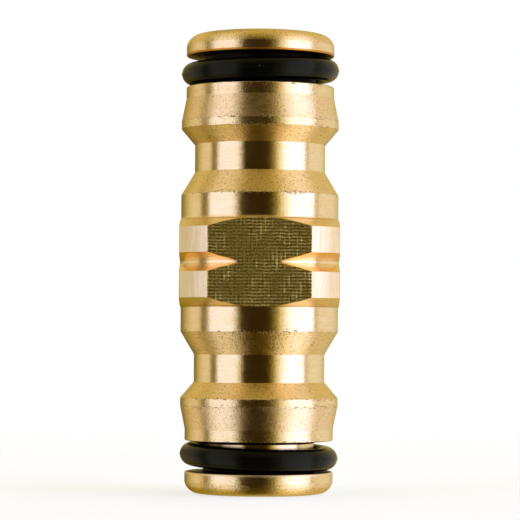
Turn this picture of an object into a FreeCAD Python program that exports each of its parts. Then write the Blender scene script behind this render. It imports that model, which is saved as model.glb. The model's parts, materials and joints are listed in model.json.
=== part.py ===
import FreeCAD, Part
import math
import os

# Two-way quick-connect nipple for garden hoses: one turned and bored brass body, with an O-ring
# in a groove near each end. A push-on hose connector slides over each end, seals on the O-ring
# and locks in the neck. The body is cut from round bar, and the bar's own skin is left on the
# corners of the wrench section.
#
# Frame: millimetres, origin at the centre of the lower end face, +Z up along the water bore.
# The body is the same both ways up, so its outline is drawn once, upwards from the middle, and
# every height named below is measured from the middle.

# Whole body
HALF_LENGTH = 24.6
BORE_RADIUS = 4.5
BORE_MOUTH_CHAMFER = 0.5

# Tip: the flange at the end, the O-ring groove and the land below it
TIP_RADIUS = 7.95
TIP_FACE_RADIUS = 6.4
TIP_ROUND_HEIGHT = 1.3
RING_GROOVE_TOP = 22.25
RING_GROOVE_WIDTH = 3.3
RING_GROOVE_RADIUS = 5.95
RING_GROOVE_FILLET = 0.3
LIP_BREAK = 0.12

# Latch: the cone that spreads the connector's claws, the collar, and the neck that they grip
LEAD_CONE_TOP = 17.7
COLLAR_RADIUS = 8.45
COLLAR_TOP = 15.2
COLLAR_BOTTOM = 14.4
NECK_RADIUS = 7.0
NECK_TOP = 12.7
NECK_BOTTOM = 9.75
STOP_BAND_TOP = 7.3
STOP_BAND_BOTTOM = 4.7

# Wrench section: round bar with four flats and a vee groove around its middle
BAR_RADIUS = 10.1
BAR_TOP = 3.75
ACROSS_FLATS = 17.0
VEE_RADIUS = 8.74
VEE_HALF_WIDTH = 1.0
VEE_NOSE_RADIUS = 0.3

# O-rings: 12 x 2.5, sitting a little askew in their grooves
RING_INNER_RADIUS = 6.0
RING_CORD_RADIUS = 1.25
UPPER_RING_HEIGHT = 20.58
UPPER_RING_ROLL = -1.7
UPPER_RING_PITCH = 1.5
LOWER_RING_HEIGHT = -20.59
LOWER_RING_ROLL = 1.8
LOWER_RING_PITCH = 1.5

Z_AXIS = FreeCAD.Vector(0, 0, 1)
MIDDLE = FreeCAD.Vector(0, 0, 0)


def point(radius, height):
    """A point of the outline, in the XZ half-plane."""
    return FreeCAD.Vector(radius, 0, height)


def lines(corners):
    """Straight edges joining the corners in turn."""
    return [Part.LineSegment(a, b).toShape() for a, b in zip(corners, corners[1:])]


def arc(centre, radius, start_angle, end_angle):
    """An arc about a centre, with angles in radians above the outward horizontal."""
    angles = (start_angle, 0.5 * (start_angle + end_angle), end_angle)
    via = [centre + point(radius * math.cos(a), radius * math.sin(a)) for a in angles]
    return Part.Arc(*via).toShape()


def vee_edges():
    """Upper half of the vee groove: its rounded nose, then its straight wall out to the bar.

    The nose is an arc centred on the middle plane, and the wall is tangent to it.
    """
    nose = point(VEE_RADIUS + VEE_NOSE_RADIUS, 0)
    lip = point(BAR_RADIUS, VEE_HALF_WIDTH)
    to_lip = lip - nose
    slope = math.atan2(to_lip.z, to_lip.x) - math.asin(VEE_NOSE_RADIUS / to_lip.Length)
    tangent_angle = slope + 0.5 * math.pi
    tangent = nose + point(
        VEE_NOSE_RADIUS * math.cos(tangent_angle), VEE_NOSE_RADIUS * math.sin(tangent_angle)
    )
    return [arc(nose, VEE_NOSE_RADIUS, math.pi, tangent_angle), *lines([tangent, lip])]


def latch_corners():
    """From the vee's lip up over the wrench section, stop band, neck, collar and lead cone."""
    groove_bottom = RING_GROOVE_TOP - RING_GROOVE_WIDTH
    return [
        point(BAR_RADIUS, VEE_HALF_WIDTH),
        point(BAR_RADIUS, BAR_TOP),
        point(COLLAR_RADIUS, STOP_BAND_BOTTOM),
        point(COLLAR_RADIUS, STOP_BAND_TOP),
        point(NECK_RADIUS, NECK_BOTTOM),
        point(NECK_RADIUS, NECK_TOP),
        point(COLLAR_RADIUS, COLLAR_BOTTOM),
        point(COLLAR_RADIUS, COLLAR_TOP),
        point(TIP_RADIUS, LEAD_CONE_TOP),
        point(TIP_RADIUS, groove_bottom - LIP_BREAK),
        point(TIP_RADIUS - LIP_BREAK, groove_bottom),
        point(RING_GROOVE_RADIUS + RING_GROOVE_FILLET, groove_bottom),
    ]


def ring_groove_edges():
    """Floor of the O-ring groove with a fillet at each wall, then up its outer wall to the lip."""
    centre_radius = RING_GROOVE_RADIUS + RING_GROOVE_FILLET
    low = RING_GROOVE_TOP - RING_GROOVE_WIDTH + RING_GROOVE_FILLET
    high = RING_GROOVE_TOP - RING_GROOVE_FILLET
    return [
        arc(point(centre_radius, low), RING_GROOVE_FILLET, 1.5 * math.pi, math.pi),
        *lines([point(RING_GROOVE_RADIUS, low), point(RING_GROOVE_RADIUS, high)]),
        arc(point(centre_radius, high), RING_GROOVE_FILLET, math.pi, 0.5 * math.pi),
        *lines(
            [
                point(centre_radius, RING_GROOVE_TOP),
                point(TIP_RADIUS - LIP_BREAK, RING_GROOVE_TOP),
                point(TIP_RADIUS, RING_GROOVE_TOP + LIP_BREAK),
                point(TIP_RADIUS, HALF_LENGTH - TIP_ROUND_HEIGHT),
            ]
        ),
    ]


def tip_edges():
    """Round of the tip, tangent to the end face, then the end face and the bore's mouth.

    The round starts TIP_ROUND_HEIGHT below the end face, where it meets the flange at a faint edge.
    """
    inset = TIP_RADIUS - TIP_FACE_RADIUS
    radius = (inset**2 + TIP_ROUND_HEIGHT**2) / (2 * TIP_ROUND_HEIGHT)
    start_angle = math.asin((radius - TIP_ROUND_HEIGHT) / radius)
    centre = point(TIP_FACE_RADIUS, HALF_LENGTH - radius)
    return [
        arc(centre, radius, start_angle, 0.5 * math.pi),
        *lines(
            [
                point(TIP_FACE_RADIUS, HALF_LENGTH),
                point(BORE_RADIUS + BORE_MOUTH_CHAMFER, HALF_LENGTH),
                point(BORE_RADIUS, HALF_LENGTH - BORE_MOUTH_CHAMFER),
            ]
        ),
    ]


def stand_up(shape):
    """Lifts a shape drawn about the middle, so that the lower end face lies at height 0."""
    shape.translate(Z_AXIS * HALF_LENGTH)
    return shape


def brass_body():
    """Turned and bored bar, with four flats milled to ACROSS_FLATS."""
    upper = [*vee_edges(), *lines(latch_corners()), *ring_groove_edges(), *tip_edges()]
    lower = [edge.mirror(MIDDLE, Z_AXIS) for edge in upper]
    mouth = HALF_LENGTH - BORE_MOUTH_CHAMFER
    bore = lines([point(BORE_RADIUS, -mouth), point(BORE_RADIUS, mouth)])
    outline = Part.Wire(Part.__sortEdges__([*upper, *lower, *bore]))
    turned = Part.Face(outline).revolve(MIDDLE, Z_AXIS, 360)
    corner = FreeCAD.Vector(-ACROSS_FLATS / 2, -ACROSS_FLATS / 2, -HALF_LENGTH)
    flats = Part.makeBox(ACROSS_FLATS, ACROSS_FLATS, 2 * HALF_LENGTH, corner)
    return stand_up(turned.common(flats).removeSplitter().Solids[0])


def o_ring(height, roll, pitch):
    """Rubber ring about the axis: roll lowers its +X side, pitch lowers its -Y side, in degrees."""
    ring = Part.makeTorus(RING_INNER_RADIUS + RING_CORD_RADIUS, RING_CORD_RADIUS)
    ring.rotate(MIDDLE, FreeCAD.Vector(0, 1, 0), roll)
    ring.rotate(MIDDLE, FreeCAD.Vector(1, 0, 0), pitch)
    ring.translate(Z_AXIS * height)
    return stand_up(ring)


PARTS = {
    "brass_body": brass_body(),
    "upper_o_ring": o_ring(UPPER_RING_HEIGHT, UPPER_RING_ROLL, UPPER_RING_PITCH),
    "lower_o_ring": o_ring(LOWER_RING_HEIGHT, LOWER_RING_ROLL, LOWER_RING_PITCH),
}

os.makedirs("parts", exist_ok=True)
for node, shape in PARTS.items():
    shape.exportStep(f"parts/{node}.step")
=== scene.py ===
import json
import math

import bpy
import numpy as np
from mathutils import Matrix, Vector


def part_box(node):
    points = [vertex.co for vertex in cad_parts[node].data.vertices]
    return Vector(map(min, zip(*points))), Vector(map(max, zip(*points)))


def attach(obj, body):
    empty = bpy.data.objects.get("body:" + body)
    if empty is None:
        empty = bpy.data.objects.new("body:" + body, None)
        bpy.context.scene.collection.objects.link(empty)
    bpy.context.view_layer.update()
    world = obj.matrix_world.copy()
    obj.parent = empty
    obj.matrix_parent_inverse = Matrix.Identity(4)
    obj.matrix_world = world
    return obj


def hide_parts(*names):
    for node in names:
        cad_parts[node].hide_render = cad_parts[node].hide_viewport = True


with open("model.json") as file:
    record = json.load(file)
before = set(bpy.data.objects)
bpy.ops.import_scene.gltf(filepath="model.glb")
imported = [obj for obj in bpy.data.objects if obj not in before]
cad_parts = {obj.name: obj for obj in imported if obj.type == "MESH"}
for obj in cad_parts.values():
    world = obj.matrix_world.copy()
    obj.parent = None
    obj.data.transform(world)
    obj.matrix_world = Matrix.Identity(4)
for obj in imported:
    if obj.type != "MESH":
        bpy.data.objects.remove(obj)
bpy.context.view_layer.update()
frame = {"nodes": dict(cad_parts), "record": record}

# Looks of a two-way brass hose nipple with two O-rings, standing on a pale floor.
#
# Lengths are in millimetres and are multiplied by MM where Blender takes metres. Heights of the
# brass body are measured from its middle, because its two halves are alike.
MM = 0.001

# ---------------------------------------------------------------- sizes

body_low, body_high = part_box("brass_body")
MIDDLE = (body_low.z + body_high.z) / 2 / MM
HALF_LENGTH = (body_high.z - body_low.z) / 2 / MM
FLAT = body_high.x / MM
MOUNT_RADIUS = {m["name"]: m["dims"].get("r_mm") for m in frame["record"]["mounts"]}
BORE_RADIUS = MOUNT_RADIUS["water_bore"]
TIP_RADIUS = MOUNT_RADIUS["upper_spigot"]

BORE_CHAMFER = 0.5
TIP_FACE_RADIUS = 6.4
TIP_ROUND_HEIGHT = 1.3
RING_GROOVE_LOW, RING_GROOVE_TOP = 18.95, 22.25
RING_GROOVE_RADIUS = 5.95
LEAD_CONE_TOP = 17.7
COLLAR_RADIUS = 8.45
COLLAR_BOTTOM, COLLAR_TOP = 14.4, 15.2
NECK_RADIUS = 7.0
NECK_BOTTOM, NECK_TOP = 9.75, 12.7
STOP_BAND_BOTTOM, STOP_BAND_TOP = 4.7, 7.3
BAR_RADIUS = 10.1
BAR_TOP = 3.75
VEE_RADIUS = 8.74
VEE_HALF_WIDTH = 1.0
VEE_NOSE = 0.3
LIP_REFLECTION_BAND = 0.24  # height of the band of painted orange reflection along the lip of the tip's flange
EDGE = 0.05  # how far a machined edge is worn round
LIP_ROUND = 0.14
GROOVE_FILLET = 0.3
NECK_FILLETS = (0.15, 0.12)  # at the neck's lower and upper end
SUPPORT = 0.04  # distance of the mesh line that holds the shading flat beside an edge
TIP_STEPS = 14
OUTSIDE_STEP, BORE_STEP = 0.4, 2.5  # longest run of the mesh along the outline

# ---------------------------------------------------------------- outline of the turned part


def arc_points(centre, radius, start, end, steps):
    """Points (r, z) along an arc, with angles in radians above the outward horizontal."""
    angles = np.linspace(start, end, steps + 1)
    return [(centre[0] + radius * math.cos(a), centre[1] + radius * math.sin(a)) for a in angles]


def fillet(before, corner, after, radius, steps=4):
    """Points that round one corner of an outline, with a support point beyond each end."""
    p, a, b = (np.array(v, float) for v in (corner, before, after))
    into, out = (p - a) / np.linalg.norm(p - a), (b - p) / np.linalg.norm(b - p)
    turn = math.acos(max(-1.0, min(1.0, float(into @ out))))
    reach = radius * math.tan(turn / 2)
    side = math.copysign(1.0, into[0] * out[1] - into[1] * out[0])
    centre = p - into * reach + side * radius * np.array([-into[1], into[0]])
    first = p - into * reach - centre
    points = [p - into * (reach + SUPPORT)]
    for k in range(steps + 1):
        angle = side * turn * k / steps
        c, s = math.cos(angle), math.sin(angle)
        points.append(centre + np.array([c * first[0] - s * first[1], s * first[0] + c * first[1]]))
    points.append(p + out * (reach + SUPPORT))
    return [tuple(q) for q in points]


def divided(points, step):
    """The same outline with extra points, so that no run is longer than step."""
    done = [points[0]]
    for (r0, z0, finish), (r1, z1, next_finish) in zip(points, points[1:]):
        count = max(1, math.ceil(math.hypot(r1 - r0, z1 - z0) / step))
        for k in range(1, count):
            t = k / count
            done.append((r0 + (r1 - r0) * t, z0 + (z1 - z0) * t, finish))
        done.append((r1, z1, next_finish))
    return done


def turned_outline():
    """Outline above the wrench section, out over the tip and down the bore to the middle.

    Each corner is (radius, height, rounding, finish of the surface that follows it), and each
    point of the result is the same without the rounding.
    """
    inset = TIP_RADIUS - TIP_FACE_RADIUS
    round_radius = (inset**2 + TIP_ROUND_HEIGHT**2) / (2 * TIP_ROUND_HEIGHT)
    round_start = math.asin((round_radius - TIP_ROUND_HEIGHT) / round_radius)
    centre = (TIP_FACE_RADIUS, HALF_LENGTH - round_radius)
    tip = arc_points(centre, round_radius, round_start, math.pi / 2, TIP_STEPS)
    corners = [
        (COLLAR_RADIUS, STOP_BAND_BOTTOM, 0, "turned"),
        (COLLAR_RADIUS, STOP_BAND_TOP, EDGE, "cone"),
        (NECK_RADIUS, NECK_BOTTOM, NECK_FILLETS[0], "turned"),
        (NECK_RADIUS, NECK_TOP, NECK_FILLETS[1], "cone"),
        (COLLAR_RADIUS, COLLAR_BOTTOM, EDGE, "band"),
        (COLLAR_RADIUS, COLLAR_TOP, EDGE * 2, "lead"),
        (TIP_RADIUS, LEAD_CONE_TOP, EDGE * 2, "band"),
        (TIP_RADIUS, RING_GROOVE_LOW, LIP_ROUND, "floor"),
        (RING_GROOVE_RADIUS, RING_GROOVE_LOW, GROOVE_FILLET, "floor"),
        (RING_GROOVE_RADIUS, RING_GROOVE_TOP, GROOVE_FILLET, "rim"),
        (TIP_RADIUS, RING_GROOVE_TOP, LIP_ROUND, "rim"),
        # the groove wall's material runs on up the flange's outside, to carry the painted reflection
        (TIP_RADIUS, RING_GROOVE_TOP + LIP_REFLECTION_BAND, 0, "band"),
        (*tip[0], EDGE, "cone"),
        *[(*p, 0, "cone") for p in tip[1:-1]],
        (*tip[-1], 0, "turned"),
        (BORE_RADIUS + BORE_CHAMFER, HALF_LENGTH, EDGE, "turned"),
        (BORE_RADIUS, HALF_LENGTH - BORE_CHAMFER, EDGE, "turned"),
        (BORE_RADIUS, 0, 0, "turned"),
    ]
    points = [(*corners[0][:2], corners[0][3])]
    for before, corner, after in zip(corners, corners[1:], corners[2:]):
        r, z, radius, finish = corner
        rounded = fillet(before[:2], (r, z), after[:2], radius) if radius else [(r, z)]
        half = len(rounded) // 2
        points += [(*p, points[-1][2]) for p in rounded[:half]]
        points += [(*p, finish) for p in rounded[half:]]
    points.append((*corners[-1][:2], corners[-1][3]))
    outside = divided([p for p in points if p[0] > BORE_RADIUS], OUTSIDE_STEP)
    return outside + divided([p for p in points if p[0] <= BORE_RADIUS], BORE_STEP)


# ---------------------------------------------------------------- outline of the wrench section


def soft_min(a, b, width=2 * EDGE):
    """The lower of two radii, rounded where they cross, as a worn edge is."""
    overlap = np.maximum(width - np.abs(a - b), 0) / width
    return np.minimum(a, b) - overlap**2 * width / 4


def edge_width(z):
    """Width of the rounding along a flat's outline, which thins out towards the stop band."""
    return 2 * EDGE * np.clip((STOP_BAND_BOTTOM - z) / EDGE_RUNOUT, LEAST_EDGE, 1)


def vee_wall():
    """Angle of the wall above the outward horizontal, and radius and height at the nose's end."""
    along, up = BAR_RADIUS - VEE_RADIUS - VEE_NOSE, VEE_HALF_WIDTH
    slope = math.atan2(up, along) - math.asin(VEE_NOSE / math.hypot(along, up))
    angle = slope + math.pi / 2
    return slope, VEE_RADIUS + VEE_NOSE + VEE_NOSE * math.cos(angle), VEE_NOSE * math.sin(angle)


def vee_radius(z):
    """Radius of the vee groove's surface at a height from the middle."""
    slope, nose_r, nose_z = vee_wall()
    wall = nose_r + (z - nose_z) / math.tan(slope)
    nose = VEE_RADIUS + VEE_NOSE - np.sqrt(np.maximum(VEE_NOSE**2 - z**2, 0))
    return np.where(z > nose_z, wall, nose)


def vee_height(r):
    """Height from the middle at which the vee groove reaches a radius."""
    slope, nose_r, nose_z = vee_wall()
    wall = nose_z + (r - nose_r) * math.tan(slope)
    nose = np.sqrt(np.maximum(VEE_NOSE**2 - (VEE_RADIUS + VEE_NOSE - r) ** 2, 0))
    return np.where(r > nose_r, wall, np.where(r > VEE_RADIUS, nose, 0.0))


def shoulder_radius(z):
    """Radius of the 30 degree shoulder between the bar and the stop band."""
    return COLLAR_RADIUS + (STOP_BAND_BOTTOM - z) * SHOULDER_SLOPE


SHOULDER_SLOPE = (BAR_RADIUS - COLLAR_RADIUS) / (STOP_BAND_BOTTOM - BAR_TOP)
EDGE_RUNOUT, LEAST_EDGE = 0.4, 0.02  # height over which a flat's edge thins out, and to what share
NOSE_SHARE = 0.4  # share of the vee's height over which its root is burnished by the tool
LEAST_RUN = 0.1  # least height of the vee's rows where a flat has cut it away

# Rows of the mesh, as shares of the height of the vee, the bar and the shoulder
VEE_STEPS = (0, 0.06, 0.12, 0.18, 0.25, 0.34, 0.46, 0.6, 0.74, 0.86, 0.94)
BAR_STEPS = np.array([0, 0.03, 0.08, *np.linspace(0.3, 2.4, 8)]) / (BAR_TOP - VEE_HALF_WIDTH)
BAR_END_GAPS = (0.08, 0.03)  # heights below the bar's upper end
SHOULDER_STEPS = (0, 0.04, 0.1, 0.25, 0.5, 0.75, 0.9, 0.96)


def wrench_rows(reach):
    """Rows of the wrench section from the middle up, for columns whose flat lies at `reach`.

    Gives (heights, radii, finishes): two arrays of rows by columns, and one name for each row.
    """
    limit = np.minimum(reach, BAR_RADIUS)
    vee_top = np.maximum(vee_height(limit), LEAST_RUN)
    bar_top = STOP_BAND_BOTTOM - (limit - COLLAR_RADIUS) / SHOULDER_SLOPE
    bar = bar_top - vee_top
    heights = [vee_top * t for t in VEE_STEPS]
    heights += [vee_top + bar * t for t in BAR_STEPS]
    heights += [bar_top - gap for gap in BAR_END_GAPS]
    heights += [bar_top + (STOP_BAND_BOTTOM - bar_top) * t for t in SHOULDER_STEPS]
    finishes = ["nose" if t < NOSE_SHARE else "vee" for t in VEE_STEPS]
    finishes += ["bar"] * (len(BAR_STEPS) + len(BAR_END_GAPS))
    finishes += ["shoulder"] * len(SHOULDER_STEPS)
    z = np.array(heights)
    outline = soft_min(soft_min(vee_radius(z), BAR_RADIUS), shoulder_radius(z))
    return z, soft_min(outline, reach[None, :], edge_width(z)), finishes


# ---------------------------------------------------------------- the brass body's mesh

EDGE_ANGLE = math.degrees(math.acos(FLAT / BAR_RADIUS))
TIP_ANGLE = math.degrees(math.acos(FLAT / VEE_RADIUS))


def column_angles():
    """Angles round the axis in degrees, closer together where a flat's edge or a vee's tip is."""
    near_tip = [TIP_ANGLE + d for d in (-1.2, -0.5, -0.15, 0.15, 0.5, 1.1, 1.9)]
    near_edge = [EDGE_ANGLE + d for d in (-1.6, -0.8, -0.44, -0.22, 0, 0.22, 0.44, 0.8, 1.6)]
    plain = [0, 2.5, 5, 7.5, 10, 17.5, 20, 22.5, 25, 27.5, 29.5, 36.5, 39, 42]
    half = sorted(plain + near_tip + near_edge)
    sector = [-a for a in reversed(half[1:])] + half + [45.0]
    return np.radians([quarter * 90 + a for quarter in range(4) for a in sector])


def off_normal(angles):
    """How far each column lies from the middle of its flat, in radians."""
    quarter = math.pi / 2
    return np.abs((angles + quarter / 2) % quarter - quarter / 2)


def grid_mesh(name, grid, finish_of_face, finishes, wear=None):
    """A mesh from points on a grid of rows by columns by (x, y, z), closed both ways."""
    rows, columns = grid.shape[:2]
    index = np.arange(rows * columns).reshape(rows, columns)
    below, right = np.roll(index, -1, 0), np.roll(index, -1, 1)
    corner = np.roll(below, -1, 1)
    quads = np.stack([index, right, corner, below], axis=-1).reshape(-1, 4)
    mesh = bpy.data.meshes.new(name)
    mesh.from_pydata((grid.reshape(-1, 3) * MM).tolist(), [], quads.tolist())
    mesh.polygons.foreach_set("use_smooth", np.ones(len(quads), bool))
    order = list(finishes)
    slots = np.array([order.index(f) for f in finish_of_face.ravel()], np.int32)
    for material in finishes.values():
        mesh.materials.append(material)
    mesh.polygons.foreach_set("material_index", slots)
    if wear is not None:
        layer = mesh.attributes.new("edge", "FLOAT", "POINT")
        layer.data.foreach_set("value", wear.ravel().astype(np.float32))
    mesh.update()
    piece = bpy.data.objects.new(name, mesh)
    bpy.context.scene.collection.objects.link(piece)
    return piece


def brass_grid():
    """Points and finishes of the whole body, as rows round the axis from the middle up,
    over the tip, down the bore, and back up the outside to the middle."""
    angles = column_angles()
    reach = FLAT / np.cos(off_normal(angles))
    wrench_z, wrench_r, wrench_finish = wrench_rows(reach)
    turned = turned_outline()
    wide = np.ones(len(angles))
    z = np.vstack([wrench_z, np.array([p[1] for p in turned])[:, None] * wide])
    r = np.vstack([wrench_r, np.array([p[0] for p in turned])[:, None] * wide])
    row_finish = wrench_finish + [p[2] for p in turned]
    finish = np.array([[f] * len(angles) for f in row_finish], dtype=object)
    next_angles = np.append(angles[1:], angles[0] + 2 * math.pi)
    middle_reach = FLAT / np.cos(off_normal((angles + next_angles) / 2))
    on_flat = middle_reach < BAR_RADIUS
    for row, name in enumerate(row_finish):
        if name == "bar":
            finish[row] = np.where(on_flat, "flat", "skin")
        if name in ("vee", "nose"):
            finish[row] = np.where(middle_reach < VEE_RADIUS, "flat", name)
    lower_z, lower_r = -z[1:-1][::-1], r[1:-1][::-1]
    lower_finish = finish[:-1][::-1]
    finish = np.vstack([finish[:-1], lower_finish])
    z, r = np.vstack([z, lower_z]), np.vstack([r, lower_r])
    x, y = r * np.cos(angles), r * np.sin(angles)
    return np.stack([x, y, z + MIDDLE], axis=-1), finish, edge_wear(r, z)


EDGES = (
    (COLLAR_RADIUS, STOP_BAND_TOP),
    (COLLAR_RADIUS, COLLAR_BOTTOM),
    (COLLAR_RADIUS, COLLAR_TOP),
    (TIP_RADIUS, RING_GROOVE_LOW),
    (TIP_RADIUS, RING_GROOVE_TOP),
)
WEAR_REACH = 0.4


def edge_wear(r, z):
    """How worn each point is: 1 on a turned edge, down to 0 at WEAR_REACH away from it."""
    gaps = [np.hypot(r - edge_r, np.abs(z) - edge_z) for edge_r, edge_z in EDGES]
    return np.clip(1 - np.min(gaps, axis=0) / WEAR_REACH, 0, 1)


# ---------------------------------------------------------------- materials


class Nodes:
    """A short way to add and join shader nodes."""

    def __init__(self, tree):
        self.tree = tree

    def add(self, kind, settings=None, **inputs):
        node = self.tree.nodes.new("ShaderNode" + kind)
        for key, value in (settings or {}).items():
            setattr(node, key, value)
        for key, value in inputs.items():
            self.feed(node.inputs[key.replace("_", " ")], value)
        return node

    def feed(self, socket, value):
        if isinstance(value, bpy.types.NodeSocket):
            self.tree.links.new(value, socket)
        else:
            socket.default_value = value

    def math(self, operation, *values, clamp=False):
        node = self.tree.nodes.new("ShaderNodeMath")
        node.operation, node.use_clamp = operation, clamp
        for socket, value in zip(node.inputs, values):
            self.feed(socket, value)
        return node.outputs[0]

    def vector(self, operation, *values):
        node = self.tree.nodes.new("ShaderNodeVectorMath")
        node.operation = operation
        for socket, value in zip(node.inputs, values):
            self.feed(socket, value)
        return node.outputs[0]

    def range(self, value, low, high, to_low=0.0, to_high=1.0):
        """Runs smoothly from to_low at low to to_high at high, and is level beyond them."""
        node = self.add("MapRange", {"interpolation_type": "SMOOTHSTEP"})
        for socket, v in zip(node.inputs, (value, low, high, to_low, to_high)):
            self.feed(socket, v)
        return node.outputs[0]

    def mix(self, share, a, b):
        node = self.tree.nodes.new("ShaderNodeMix")
        node.data_type = "RGBA"
        for socket, value in ((node.inputs[0], share), (node.inputs[6], a), (node.inputs[7], b)):
            self.feed(socket, value)
        return node.outputs[2]

    def noise(self, vector, scale, detail=2.0, roughness=0.5):
        node = self.add("TexNoise", Scale=scale, Detail=detail, Roughness=roughness)
        self.feed(node.inputs["Vector"], vector)
        return node.outputs["Fac"]


def rgb(r, g, b):
    return (r, g, b, 1.0)


def new_material(name):
    """A material with its node helper, Principled node and place in millimetres."""
    material = bpy.data.materials.new(name)
    material.use_nodes = True
    nodes = Nodes(material.node_tree)
    shader = material.node_tree.nodes["Principled BSDF"]
    place = nodes.vector("SCALE", nodes.add("TexCoord").outputs["Object"])
    place.node.inputs["Scale"].default_value = 1 / MM
    return material, nodes, shader, place


BRASS_LIGHT = rgb(0.97, 0.78, 0.50)
BRASS_DEEP = rgb(0.90, 0.66, 0.30)
PINK_LIGHT = rgb(0.97, 0.77, 0.52)
PINK_DEEP = rgb(0.90, 0.665, 0.34)
ORANGE_LIGHT = rgb(1.0, 0.74, 0.38)
ORANGE_DEEP = rgb(0.98, 0.60, 0.20)
PIT = rgb(0.22, 0.13, 0.03)
# painted shade in the O-ring grooves
GROOVE_SHADE = rgb(0.03, 0.022, 0.012)
# painted orange reflection on the lip under the upper flange, and painted shade deep in the wall
LIP_REFLECTION_LIGHT, LIP_REFLECTION_DEEP = rgb(0.78, 0.36, 0.05), rgb(0.52, 0.20, 0.02)
SHADED_WALL = rgb(0.10, 0.06, 0.015)
# the milled flat's tones: partly random, partly painted shade in the weave's furrows and painted
# glints on its crests
MILLED_DEEP, MILLED_LIGHT = rgb(0.27, 0.195, 0.012), rgb(1.0, 0.785, 0.235)
MILLED_GLINT = rgb(1.0, 0.90, 0.48)
SKIN_LIGHT, SKIN_DEEP = rgb(1.0, 0.88, 0.60), rgb(0.93, 0.72, 0.40)
RUBBER_DEEP, RUBBER_LIGHT = rgb(0.0010, 0.0012, 0.0013), rgb(0.003, 0.0033, 0.0033)
DUST = rgb(0.30, 0.30, 0.28)

LINE_PITCH, WALL_LINE_PITCH = 0.15, 0.12
ROUND_THE_AXIS = (0.09, 0.09, 1.0)  # a place scaled by this stretches its marks round the axis
ALONG_THE_AXIS = (1.0, 1.0, 0.04)
UPPER_HALF = (MIDDLE - 1.0, MIDDLE + 1.0)  # heights over which the upper half's painted shade in its groove and painted reflection on its lip set in
QUARTER_TURN = 0.25


def bump(nodes, height, depth, normal=None):
    """A bump of `depth` millimetres for a height that runs from 0 to 1."""
    node = nodes.add("Bump", Strength=1.0, Distance=depth * MM, Height=height)
    if normal is not None:
        nodes.feed(node.inputs["Normal"], normal)
    return node.outputs[0]


def turning_lines(nodes, place, pitch):
    """Fine lines round the axis, about `pitch` millimetres apart, that drift slowly round it."""
    stretched = nodes.vector("MULTIPLY", place, ROUND_THE_AXIS)
    fine = nodes.noise(stretched, 1 / pitch, detail=2.0, roughness=0.6)
    broad = nodes.noise(stretched, 0.22 / pitch, detail=1.0)
    return nodes.math("ADD", nodes.math("MULTIPLY", fine, 0.65), nodes.math("MULTIPLY", broad, 0.35))


def grain(nodes, place, size, low=0.35, high=0.65):
    """Blotches of about `size` millimetres, from 0 to 1."""
    return nodes.range(nodes.noise(place, 1 / size, detail=3.0, roughness=0.6), low, high)


def nicks(nodes, place):
    """Small dents along the turned edges, 1 in a dent: short marks that come in patches."""
    worn = nodes.add("Attribute", {"attribute_name": "edge"}).outputs["Fac"]
    flattened = nodes.vector("MULTIPLY", place, (0.8, 0.8, 2.2))
    marks = nodes.noise(flattened, scale=3.4, roughness=0.6)
    patch = nodes.noise(place, scale=0.35, detail=1.0)
    level = nodes.math("MULTIPLY_ADD", worn, 0.16, marks)
    level = nodes.math("MULTIPLY_ADD", patch, 0.25, level)
    return nodes.math("MULTIPLY", nodes.range(level, 0.82, 0.90), nodes.range(worn, 0.0, 0.3))


def metal(shader, nodes, colour, roughness, normal, anisotropy=0.0, along_axis=False):
    """Sets the shader to metal, brushed round the axis or, with `along_axis`, along it."""
    shader.inputs["Metallic"].default_value = 1.0
    shader.inputs["Anisotropic"].default_value = anisotropy
    nodes.feed(shader.inputs["Base Color"], colour)
    nodes.feed(shader.inputs["Roughness"], roughness)
    nodes.feed(shader.inputs["Normal"], normal)
    if anisotropy:
        tangent = nodes.add("Tangent", {"direction_type": "RADIAL", "axis": "Z"})
        nodes.feed(shader.inputs["Tangent"], tangent.outputs[0])
        if not along_axis:
            shader.inputs["Anisotropic Rotation"].default_value = QUARTER_TURN


def turned_brass(
    name, roughness, sandiness, line_depth, anisotropy, light=BRASS_LIGHT, deep=BRASS_DEEP
):
    """Lathe-turned brass: fine lines round it, `line_depth` millimetres deep, and, the sandier it
    is, a speckled matte skin."""
    material, nodes, shader, place = new_material(name)
    lines = turning_lines(nodes, place, LINE_PITCH)
    speckle = nodes.noise(place, scale=5.5, detail=3.0, roughness=0.75)
    blotch = grain(nodes, place, size=1.6)
    tone = nodes.math("MULTIPLY_ADD", lines, 1.8, sandiness * 0.7 - 0.8)
    tone = nodes.math("MULTIPLY_ADD", blotch, 0.15, tone)
    tone = nodes.math("MULTIPLY_ADD", speckle, sandiness * 0.5, tone, clamp=True)
    colour = nodes.mix(tone, light, deep)
    grit = nodes.range(speckle, 0.53, 0.68, to_high=0.8 * sandiness)
    colour = nodes.mix(grit, colour, PIT)
    dents = nicks(nodes, place)
    colour = nodes.mix(nodes.math("MULTIPLY", dents, 0.7), colour, PIT)
    rough = nodes.math("MULTIPLY_ADD", blotch, 0.05, roughness)
    rough = nodes.math("MULTIPLY_ADD", dents, 0.3, rough)
    height = nodes.math("MULTIPLY_ADD", dents, -0.4, speckle)
    normal = bump(nodes, height, 0.020 * sandiness + 0.002)
    normal = bump(nodes, lines, line_depth, normal)
    metal(shader, nodes, colour, rough, normal, anisotropy=anisotropy)
    return material


BEHIND_RING = (20.3, 20.9)  # heights from the middle over which painted shade darkens the lower floor


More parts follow.
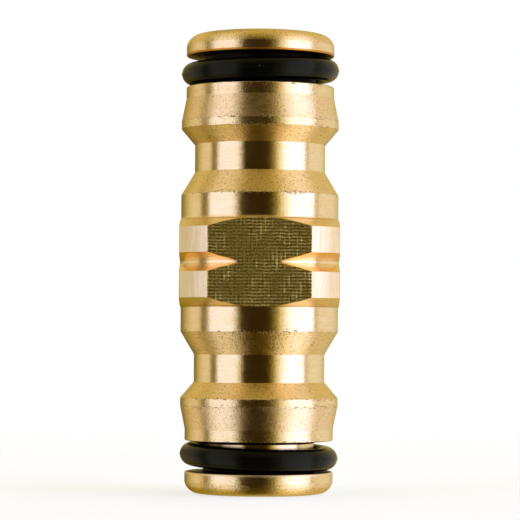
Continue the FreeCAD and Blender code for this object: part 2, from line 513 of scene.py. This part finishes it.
def groove_floor():
    """Floor and inner wall of an O-ring groove, darkened with painted shade: the whole of the upper
    groove, and the lower one behind the outer half of its ring."""
    material, nodes, shader, place = new_material("brass_groove_floor")
    lines = turning_lines(nodes, place, LINE_PITCH)
    height = nodes.add("SeparateXYZ", Vector=place).outputs[2]
    from_middle = nodes.math("ABSOLUTE", nodes.math("SUBTRACT", height, MIDDLE))
    behind_ring = nodes.range(from_middle, *BEHIND_RING)
    # painted shade: all of the upper groove, and the lower one behind its ring
    painted_groove_shade = nodes.math("MAXIMUM", nodes.range(height, *UPPER_HALF), behind_ring)
    colour = nodes.mix(painted_groove_shade, nodes.mix(lines, BRASS_LIGHT, BRASS_DEEP), GROOVE_SHADE)
    rough = nodes.range(painted_groove_shade, 0.0, 1.0, to_low=0.2, to_high=0.6)
    metal(shader, nodes, colour, rough, bump(nodes, lines, 0.008), anisotropy=0.6)
    return material


LIP_DEPTHS = (0.12, 0.3)  # distances in from the tip's radius over which painted shade darkens the wall


def groove_wall():
    """Outer side of an O-ring groove and its lip: a painted orange reflection on the lip under the
    upper flange, and painted shade on the wall deeper in.
    """
    material, nodes, shader, place = new_material("brass_groove_wall")
    lines = turning_lines(nodes, place, WALL_LINE_PITCH)
    height = nodes.add("SeparateXYZ", Vector=place).outputs[2]
    upper = nodes.range(height, *UPPER_HALF)
    # painted reflection: the lip is orange only under the upper flange, which faces down
    orange = nodes.mix(lines, LIP_REFLECTION_LIGHT, LIP_REFLECTION_DEEP)
    lip = nodes.mix(upper, nodes.mix(lines, BRASS_LIGHT, BRASS_DEEP), orange)
    level = nodes.vector("MULTIPLY", place, (1.0, 1.0, 0.0))
    from_axis = nodes.vector("LENGTH", level).node.outputs["Value"]
    # painted shade: the wall darkens deeper in from the lip
    depth = nodes.range(from_axis, *(TIP_RADIUS - inset for inset in LIP_DEPTHS))
    colour = nodes.mix(depth, lip, SHADED_WALL)
    metal(shader, nodes, colour, 0.4, bump(nodes, lines, 0.01))
    return material


ROW_PITCH, FILE_PITCH = 0.34, 0.42  # spacing of the level lines and of the upright ones
WOBBLE = 0.22  # how far a level line strays up and down


def milled_brass():
    """A flat left by the cutter: fine lines both ways that cross like a weave, with random speckle,
    painted shade in the weave's furrows and painted glints on its crests.
    """
    material, nodes, shader, place = new_material("brass_milled_flat")
    x, y, z = nodes.add("SeparateXYZ", Vector=place).outputs
    faces_y = nodes.math("GREATER_THAN", nodes.math("ABSOLUTE", y), nodes.math("ABSOLUTE", x))
    faces_x = nodes.math("SUBTRACT", 1.0, faces_y)
    along_y = nodes.math("MULTIPLY", y, faces_x)
    across = nodes.math("ADD", nodes.math("MULTIPLY", x, faces_y), along_y)
    level = nodes.math("MULTIPLY_ADD", nodes.noise(place, scale=0.8), WOBBLE, z)

    def wave(value, pitch):
        return nodes.math("SINE", nodes.math("MULTIPLY", value, 2 * math.pi / pitch))

    def broken(across_scale, level_scale, detail, low, high, to_low, to_high):
        """How strongly a set of lines shows, from place to place on the flat."""
        scaled_across = nodes.math("MULTIPLY", across, across_scale)
        scaled_level = nodes.math("MULTIPLY", level, level_scale)
        spot = nodes.add("CombineXYZ", X=scaled_across, Y=scaled_level).outputs[0]
        return nodes.range(nodes.noise(spot, 1.0, detail), low, high, to_low, to_high)

    row_share = broken(2.4, 3.7, detail=3.0, low=0.38, high=0.66, to_low=0.15, to_high=1.2)
    file_share = broken(3.6, 0.5, detail=2.0, low=0.50, high=0.68, to_low=0.05, to_high=0.8)
    rows = nodes.math("MULTIPLY", wave(level, ROW_PITCH), row_share)
    files = nodes.math("MULTIPLY", wave(across, FILE_PITCH), file_share)
    patches = nodes.noise(place, scale=0.42, detail=1.0)
    patches = nodes.range(patches, 0.36, 0.64, to_low=0.35, to_high=1.25)
    weave = nodes.math("MULTIPLY", nodes.math("ADD", rows, files), patches)
    weave = nodes.math("MULTIPLY_ADD", weave, 0.3, 0.5)
    speckle = nodes.noise(place, scale=6.0, roughness=0.6)
    tone = nodes.math("MULTIPLY_ADD", speckle, 0.45, nodes.math("MULTIPLY", weave, 0.55))
    # random speckle plus painted light: the weave's furrows get painted shade, its crests painted
    # glints
    colour = nodes.mix(nodes.range(tone, 0.38, 0.62), MILLED_DEEP, MILLED_LIGHT)
    colour = nodes.mix(nodes.range(tone, 0.58, 0.68), colour, MILLED_GLINT)
    normal = bump(nodes, speckle, 0.014)
    normal = bump(nodes, weave, 0.05, normal)
    metal(shader, nodes, colour, 0.42, normal)
    return material


def bar_skin():
    """The drawn bar's own surface, with faint scores along the axis."""
    material, nodes, shader, place = new_material("brass_bar_skin")
    stretched = nodes.vector("MULTIPLY", place, ALONG_THE_AXIS)
    scores = nodes.noise(stretched, scale=5.0, detail=3.0, roughness=0.7)
    fine = nodes.noise(nodes.vector("MULTIPLY", place, (1.0, 1.0, 0.1)), scale=14.0)
    height = nodes.math("ADD", nodes.math("MULTIPLY", scores, 0.7), nodes.math("MULTIPLY", fine, 0.3))
    colour = nodes.mix(nodes.range(height, 0.38, 0.62), SKIN_LIGHT, SKIN_DEEP)
    metal(shader, nodes, colour, 0.40, bump(nodes, height, 0.04), anisotropy=0.3, along_axis=True)
    return material


def black_rubber():
    """Moulded black rubber: satin, a little uneven, with a few specks of dust."""
    material, nodes, shader, place = new_material("rubber_black")
    uneven = nodes.noise(place, scale=1.4, detail=3.0, roughness=0.6)
    fine = nodes.noise(place, scale=9.0)
    dots = nodes.add("TexVoronoi", {"feature": "F1"}, Scale=1.3)
    nodes.feed(dots.inputs["Vector"], place)
    rare = nodes.range(nodes.noise(place, scale=0.55, detail=1.0), 0.56, 0.6)
    dust = nodes.math("MULTIPLY", nodes.range(dots.outputs["Distance"], 0.07, 0.03), rare)
    colour = nodes.mix(uneven, RUBBER_DEEP, RUBBER_LIGHT)
    colour = nodes.mix(nodes.math("MULTIPLY", dust, 0.6), colour, DUST)
    nodes.feed(shader.inputs["Base Color"], colour)
    rough = nodes.range(uneven, 0.3, 0.7, to_low=0.13, to_high=0.24)
    nodes.feed(shader.inputs["Roughness"], rough)
    shader.inputs["Specular IOR Level"].default_value = 0.14
    shader.inputs["Specular Tint"].default_value = rgb(1.0, 0.98, 0.66)
    nodes.feed(shader.inputs["Normal"], bump(nodes, fine, 0.008))
    return material


# ---------------------------------------------------------------- O-rings


def ring_place(node):
    """Centre and axis of a CAD ring, in metres, from its box and its faces."""
    low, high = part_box(node)
    centre = np.array((low + high) / 2)
    faces = frame["nodes"][node].data.polygons
    area = np.array([face.area for face in faces])
    spread = (np.array([face.center for face in faces]) - centre) * np.sqrt(area)[:, None]
    axis = np.linalg.svd(spread, full_matrices=False)[2][2]
    return Vector(centre), Vector(axis if axis[2] > 0 else -axis)


RING_INNER_RADIUS = 6.0
RING_CORD_RADIUS = 1.25
SEAM_HEIGHT, SEAM_WIDTH = 0.05, 0.07
RING_COLUMNS = 240


def o_ring(node, material):
    """The moulded ring: a round cord with a thin parting line all round its outside and inside."""
    fine = np.radians([0, 2, 4, 6, 9, 13, 18])
    coarse = np.radians(np.linspace(26, 154, 17))
    half = np.concatenate([fine, coarse, math.pi - fine[:0:-1], [math.pi]])
    section = np.concatenate([half, 2 * math.pi - half[-2:0:-1]])
    from_seam = np.abs(np.sin(section)) * RING_CORD_RADIUS
    cord = RING_CORD_RADIUS - SEAM_HEIGHT + SEAM_HEIGHT * np.exp(-((from_seam / SEAM_WIDTH) ** 2))
    around = np.linspace(0, 2 * math.pi, RING_COLUMNS, endpoint=False)
    radius = RING_INNER_RADIUS + RING_CORD_RADIUS + cord * np.cos(section)
    height = cord * np.sin(section)
    grid = np.stack(
        [
            radius[:, None] * np.cos(around),
            radius[:, None] * np.sin(around),
            height[:, None] * np.ones(RING_COLUMNS),
        ],
        axis=-1,
    )
    finish = np.full(grid.shape[:2], "rubber", dtype=object)
    piece = grid_mesh(node + "_rubber", grid[::-1], finish, {"rubber": material})
    centre, axis = ring_place(node)
    turn = Vector((0, 0, 1)).rotation_difference(axis).to_matrix().to_4x4()
    piece.data.transform(Matrix.Translation(centre) @ turn)
    return piece


# ---------------------------------------------------------------- build the object

finishes = {
    "turned": turned_brass("brass_turned", 0.17, sandiness=0.2, line_depth=0.03, anisotropy=0.6),
    "band": turned_brass("brass_band", 0.21, sandiness=0.4, line_depth=0.03, anisotropy=0.6),
    "floor": groove_floor(),
    "rim": groove_wall(),
    "lead": turned_brass(
        "brass_lead_cone", 0.25, sandiness=0.8, line_depth=0.025, anisotropy=0.5,
        light=PINK_LIGHT, deep=PINK_DEEP,
    ),
    "cone": turned_brass("brass_cone", 0.22, sandiness=1.0, line_depth=0.02, anisotropy=0.5),
    "shoulder": turned_brass("brass_shoulder", 0.22, sandiness=0.6, line_depth=0.008, anisotropy=0.4),
    "vee": turned_brass(
        "brass_vee_groove", 0.16, sandiness=0.5, line_depth=0.006, anisotropy=0.3,
        light=ORANGE_LIGHT, deep=ORANGE_DEEP,
    ),
    "nose": turned_brass("brass_vee_root", 0.17, sandiness=0.0, line_depth=0.002, anisotropy=0.0),
    "flat": milled_brass(),
    "skin": bar_skin(),
}
grid, finish, wear = brass_grid()
body = grid_mesh("brass_body_turned", grid, finish, finishes, wear)
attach(body, "root")
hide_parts("brass_body")

rubber = black_rubber()
for node in ("upper_o_ring", "lower_o_ring"):
    ring = o_ring(node, rubber)
    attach(ring, "root")
    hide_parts(node)

# ---------------------------------------------------------------- stage

FLOOR_RADIUS = 300.0
FLOOR_GAP = 0.01  # how far the floor lies below the object
FLOOR_FADE = (45.0, 200.0)  # distances over which the floor fades into the backdrop
FLOOR_COLOUR, FLOOR_GLOW = rgb(0.54, 0.60, 0.75), 0.60


def floor_material():
    """Pale matte floor that fades into the backdrop."""
    material, nodes, shader, place = new_material("floor_pale")
    shader.inputs["Base Color"].default_value = FLOOR_COLOUR
    shader.inputs["Roughness"].default_value = 0.8
    shader.inputs["Specular IOR Level"].default_value = 0.2
    shader.inputs["Emission Color"].default_value = rgb(1, 1, 1)
    shader.inputs["Emission Strength"].default_value = FLOOR_GLOW
    distance = nodes.vector("LENGTH", place).node.outputs["Value"]
    clear = nodes.add("BsdfTransparent")
    mixed = nodes.add("MixShader")
    nodes.feed(mixed.inputs[0], nodes.range(distance, *FLOOR_FADE))
    nodes.feed(mixed.inputs[1], shader.outputs[0])
    nodes.feed(mixed.inputs[2], clear.outputs[0])
    nodes.feed(material.node_tree.nodes["Material Output"].inputs["Surface"], mixed.outputs[0])
    return material


def disc(name, radius, z, sides=96):
    """A flat round face at one height, with its centre on the axis."""
    mesh = bpy.data.meshes.new(name)
    turns = np.linspace(0, 2 * math.pi, sides, endpoint=False)
    ring = [(radius * math.cos(a) * MM, radius * math.sin(a) * MM, z * MM) for a in turns]
    mesh.from_pydata(ring, [], [tuple(range(sides))])
    made = bpy.data.objects.new(name, mesh)
    bpy.context.scene.collection.objects.link(made)
    return made


floor = disc("floor", FLOOR_RADIUS, -FLOOR_GAP)
floor.data.materials.append(floor_material())
floor.visible_glossy = False


# The studio's light, for every direction round the object. A direction is described by the face
# that would mirror it to the front: `turn` is twice that face's angle round the axis, in degrees,
# 0 at the front and positive to the right, and `rise` is the sine of the angle by which the face
# looks up. So a panel shows as one upright band, on the cylinders and the cones alike.
#
# A panel is its two edges by turn, the softness of each edge, and its light.
PANELS = (
    ((33.5, 87), (18.5, 2), (1.65, 1.65, 2.40)),
    ((-80, -33.5), (2, 6), (1.14, 1.14, 1.44)),
    ((92, 165), (2, 45), (0.88, 0.82, 0.74)),
    ((-137, -95), (26, 2), (0.80, 0.70, 0.53)),
)
FADE = (1.0, 1.1, 2.2)  # power by which each colour of a panel falls off at its soft edges
DARK_FRONT = (0.03, 0.0165, 0.0015)
SLIT, SLIT_FROM = (0.22, 0.17, 0.055), 55.0  # light between panels, beyond this turn
TO_RIGHT = (-0.3, 0.3)  # sideways span over which the left's tint changes to the right's
LOOKING_DOWN = (-0.37, -0.65)  # rise over which the tint of what comes from below sets in
LEFT_GLOW, RIGHT_GLOW = (0.40, 0.34, 0.05), (0.66, 0.58, 0.32)
UNDERNEATH = (0.08, 0.055, 0.0)  # light added from below
LOOKING_UP = (0.15, 0.80)  # rise over which the light from overhead sets in
OVERHEAD, MOST_OVERHEAD = (0.70, 0.57, 0.20), 0.9
BEHIND = (0.30, 0.65)  # how far back a direction points where the light from behind sets in
BEHIND_TURN = (100.0, 85.0)  # and the turn over which it sets in, going towards the front
BEHIND_LEFT, BEHIND_RIGHT = (0.42, 0.37, 0.14), (0.68, 0.58, 0.27)


def surroundings():
    """World light: upright panels all round the object. The camera itself sees plain white."""
    world = bpy.data.worlds.new("studio")
    bpy.context.scene.world = world
    world.use_nodes = True
    nodes = Nodes(world.node_tree)
    background = world.node_tree.nodes["Background"]
    direction = nodes.add("TexCoord").outputs["Generated"]
    x, y, z = nodes.add("SeparateXYZ", Vector=direction).outputs
    turn = nodes.math("ARCTAN2", x, nodes.math("SUBTRACT", 1.0, y))
    turn = nodes.math("MULTIPLY", turn, math.degrees(2))
    rise = nodes.math("DIVIDE", z, nodes.math("SQRT", nodes.math("MULTIPLY_ADD", y, -2.0, 2.0)))
    size_of_turn = nodes.math("ABSOLUTE", turn)

    def laid_over(light, share, colour):
        """The colour laid over the light, by a share for each of red, green and blue."""
        change = nodes.vector("SUBTRACT", colour, light)
        return nodes.vector("MULTIPLY_ADD", share, change, light)

    def shares(red, green, blue):
        return nodes.add("CombineXYZ", X=red, Y=green, Z=blue).outputs[0]

    def same_share(share):
        return shares(share, share, share)

    between = same_share(nodes.math("GREATER_THAN", size_of_turn, SLIT_FROM))
    light = laid_over(DARK_FRONT, between, SLIT)
    for (start, end), (soft_start, soft_end), colour in PANELS:
        past_start = nodes.range(turn, start - soft_start, start + soft_start)
        before_end = nodes.range(turn, end + soft_end, end - soft_end)
        share = nodes.math("MULTIPLY", past_start, before_end)
        share = shares(*(nodes.math("POWER", share, power) for power in FADE))
        light = laid_over(light, share, colour)

    to_right = same_share(nodes.range(x, *TO_RIGHT))
    down = same_share(nodes.range(rise, *LOOKING_DOWN))
    glow = laid_over(LEFT_GLOW, to_right, RIGHT_GLOW)
    light = laid_over(light, down, nodes.vector("MULTIPLY", light, glow))
    light = nodes.vector("MULTIPLY_ADD", down, UNDERNEATH, light)
    up = same_share(nodes.range(rise, *LOOKING_UP, 0, MOST_OVERHEAD))
    light = laid_over(light, up, OVERHEAD)
    near_front = nodes.range(size_of_turn, *BEHIND_TURN)
    behind = same_share(nodes.math("MULTIPLY", nodes.range(y, *BEHIND), near_front))
    light = laid_over(light, behind, laid_over(BEHIND_LEFT, to_right, BEHIND_RIGHT))
    seen = nodes.add("LightPath").outputs["Is Camera Ray"]
    nodes.feed(background.inputs["Color"], nodes.mix(seen, light, rgb(1, 1, 1)))
    background.inputs["Strength"].default_value = 1.0


surroundings()

# ---------------------------------------------------------------- camera

LENS, SENSOR = 180.0, 36.0
CAMERA_DISTANCE = 279.4
EYE_BELOW_MIDDLE = 7.6
AIM_ABOVE_MIDDLE = 0.40
CAMERA_SIDE = 0.05  # how far the camera and its aim stand to the right of the axis
CAMERA_ROLL = math.radians(0.3)

camera_data = bpy.data.cameras.new("camera")
camera_data.lens, camera_data.sensor_width = LENS, SENSOR
camera_data.clip_start, camera_data.clip_end = 0.01, 10.0
camera = bpy.data.objects.new("camera", camera_data)
camera.location = Vector((CAMERA_SIDE, -CAMERA_DISTANCE, MIDDLE - EYE_BELOW_MIDDLE)) * MM
aim = Vector((CAMERA_SIDE, 0, MIDDLE + AIM_ABOVE_MIDDLE)) * MM
look = (aim - camera.location).to_track_quat("-Z", "Y").to_matrix()
camera.rotation_euler = (look @ Matrix.Rotation(CAMERA_ROLL, 3, "Z")).to_euler()
bpy.context.scene.collection.objects.link(camera)
bpy.context.scene.camera = camera

view = bpy.context.scene.view_settings
view.view_transform = "Standard"
view.look = "None"
